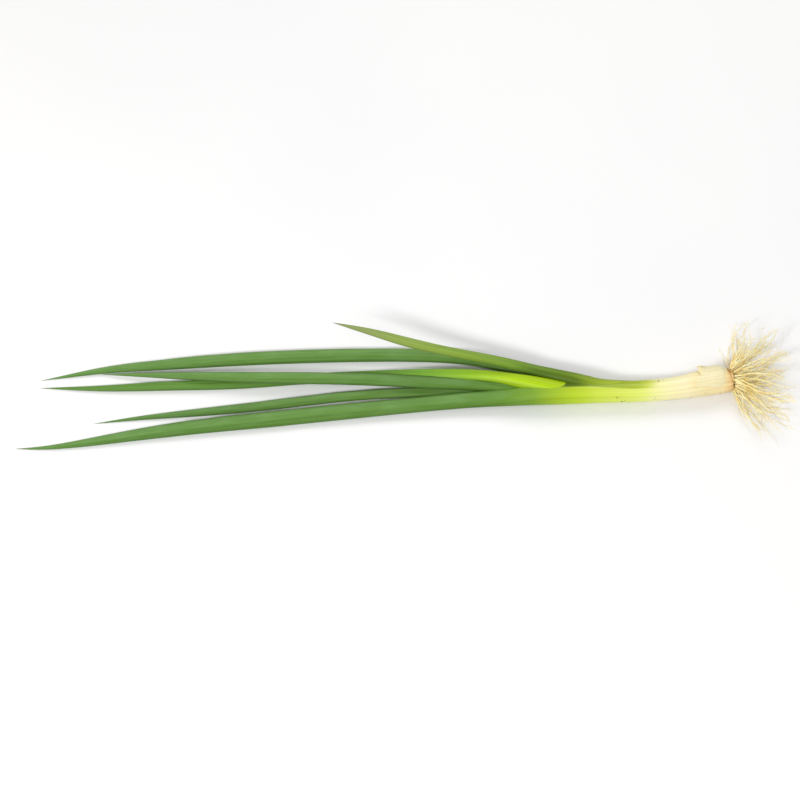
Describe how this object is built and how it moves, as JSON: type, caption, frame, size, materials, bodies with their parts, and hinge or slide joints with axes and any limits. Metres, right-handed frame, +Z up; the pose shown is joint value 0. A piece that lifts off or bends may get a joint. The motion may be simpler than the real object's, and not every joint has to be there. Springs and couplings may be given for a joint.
{
  "type": "spring onion",
  "caption": "Whole fresh spring onion lying flat: a white shank with a small bulb and fibrous roots at one end, turning green into long tapering tubular leaves that fan out at the other.",
  "frame": {"origin": "middle of the plant's footprint, on the surface it lies on", "axes": "+X along the plant from the leaf tips to the roots, +Z up from the surface"},
  "size_m": [0.4352, 0.0818, 0.0261],
  "materials": {
    "shank": "moist satin plant skin, white at the bulb and yellow-green at the neck, fine lengthwise veins",
    "dry_skin": "dry papery onion skin, cream with tan edges",
    "root_plate": "rough corky tan plate",
    "root": "matt cream root fibre",
    "leaf": "waxy dark green leaf with fine lengthwise veins",
    "young_leaf": "waxy bright yellow-green leaf with fine lengthwise veins",
    "old_leaf": "duller olive leaf that turns greyish at its tip"
  },
  "bodies": {
    "root": {"shank": "shank", "dry_skin": "dry_skin", "root_plate": "root_plate", "root_01": "root", "root_02": "root", "root_03": "root", "root_04": "root", "root_05": "root", "root_06": "root", "root_07": "root", "root_08": "root", "root_09": "root", "root_10": "root", "root_11": "root", "root_12": "root", "root_13": "root", "root_14": "root", "root_15": "root", "root_16": "root", "root_17": "root", "root_18": "root", "root_19": "root", "root_20": "root", "root_21": "root", "root_22": "root", "root_23": "root", "root_24": "root", "root_25": "root", "root_26": "root", "root_27": "root", "root_28": "root", "root_29": "root", "root_30": "root", "root_31": "root", "root_32": "root", "root_33": "root", "root_34": "root", "root_35": "root", "root_36": "root", "leaf_front": "leaf", "leaf_middle": "leaf", "leaf_back": "leaf", "leaf_low": "leaf", "leaf_young": "young_leaf", "leaf_raised": "old_leaf"}
  },
  "joints": []
}
